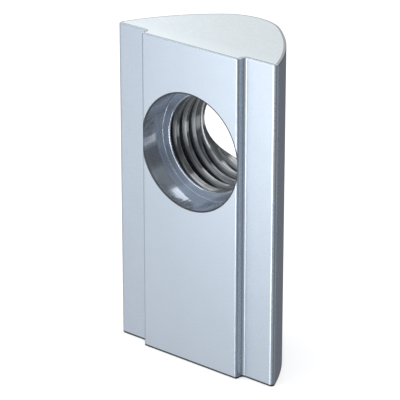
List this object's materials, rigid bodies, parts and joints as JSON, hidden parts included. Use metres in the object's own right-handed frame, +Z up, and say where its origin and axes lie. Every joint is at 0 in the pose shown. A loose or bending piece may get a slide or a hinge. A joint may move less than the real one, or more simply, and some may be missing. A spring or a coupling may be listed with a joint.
{
  "type": "slot nut",
  "caption": "Steel slot nut of arched section, with a raised guide strip and a counterbored, threaded hole nearer one end.",
  "frame": {"origin": "centre of the bounding box's lower face, on the end that the nut stands on", "axes": "+Z up along the nut's length, -Y out of the guide strip and the threaded hole, +X across the strip"},
  "size_m": [0.0136, 0.0076, 0.0233],
  "materials": {
    "zinc_plated_steel": "bright zinc plate, satin"
  },
  "bodies": {
    "root": {"slot_nut": "zinc_plated_steel"}
  },
  "joints": []
}
